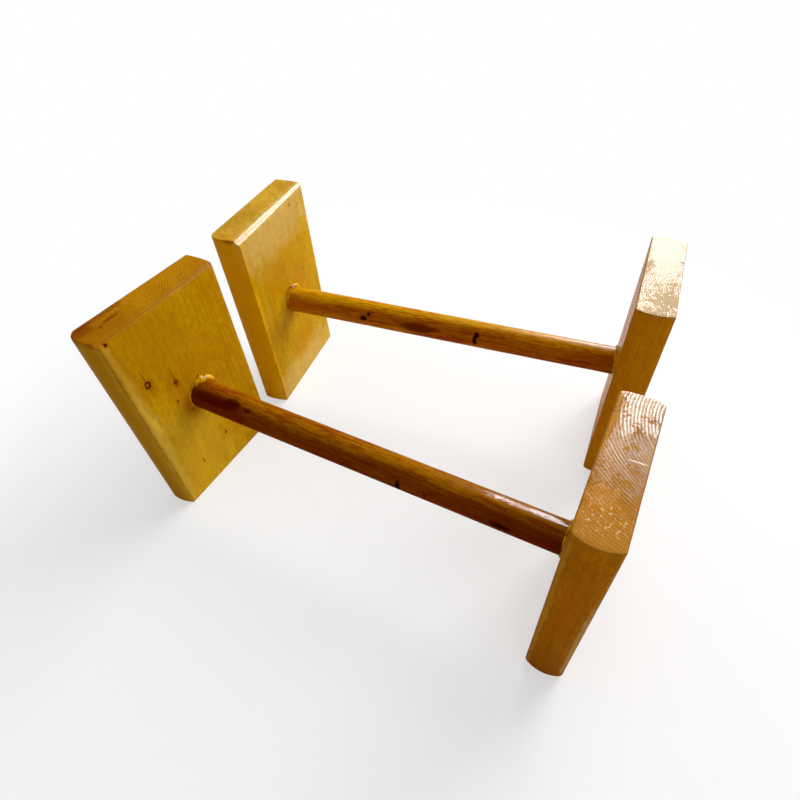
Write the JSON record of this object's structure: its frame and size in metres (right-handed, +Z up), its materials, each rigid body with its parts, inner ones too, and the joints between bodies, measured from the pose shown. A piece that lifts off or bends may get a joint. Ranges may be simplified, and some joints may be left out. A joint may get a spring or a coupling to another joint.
{
  "type": "push-up stands",
  "caption": "Free-standing wooden push-up stands: upright varnished pine boards joined by a round, darker grip bar.",
  "frame": {"origin": "middle of the floor under the pair, at the bottom centre of its box", "axes": "+X along the near stand's bar, to the right of a user who looks from the near stand to the far one; +Y from the near stand to the far one; +Z up"},
  "size_m": [0.478, 0.3706, 0.23],
  "materials": {
    "pine": "pine with upright grain under amber varnish, worn to a gloss",
    "stained_wood": "round wooden bar, dark brown streaks under glossy varnish",
    "glue": "cured glue and varnish, glossy",
    "plug_wood": "wood plug sanded flush, under the same varnish",
    "screw_steel": "zinc-plated steel"
  },
  "bodies": {
    "near_stand": {"near_left_board": "pine", "near_left_glue_bead": "glue", "near_left_screw": "screw_steel", "near_left_plug": "plug_wood", "near_right_board": "pine", "near_right_glue_bead": "glue", "near_right_screw": "screw_steel", "near_right_plug": "plug_wood", "near_grip_bar": "stained_wood"},
    "far_stand": {"far_left_board": "pine", "far_left_glue_bead": "glue", "far_left_screw": "screw_steel", "far_left_plug": "plug_wood", "far_right_board": "pine", "far_right_glue_bead": "glue", "far_right_screw": "screw_steel", "far_right_plug": "plug_wood", "far_grip_bar": "stained_wood"}
  },
  "joints": [
    {"name": "far_stand_spacing", "type": "slide", "parent": "near_stand", "child": "far_stand", "axis": [0, 1, 0], "range_m": [-0.03, 0.4]}
  ]
}
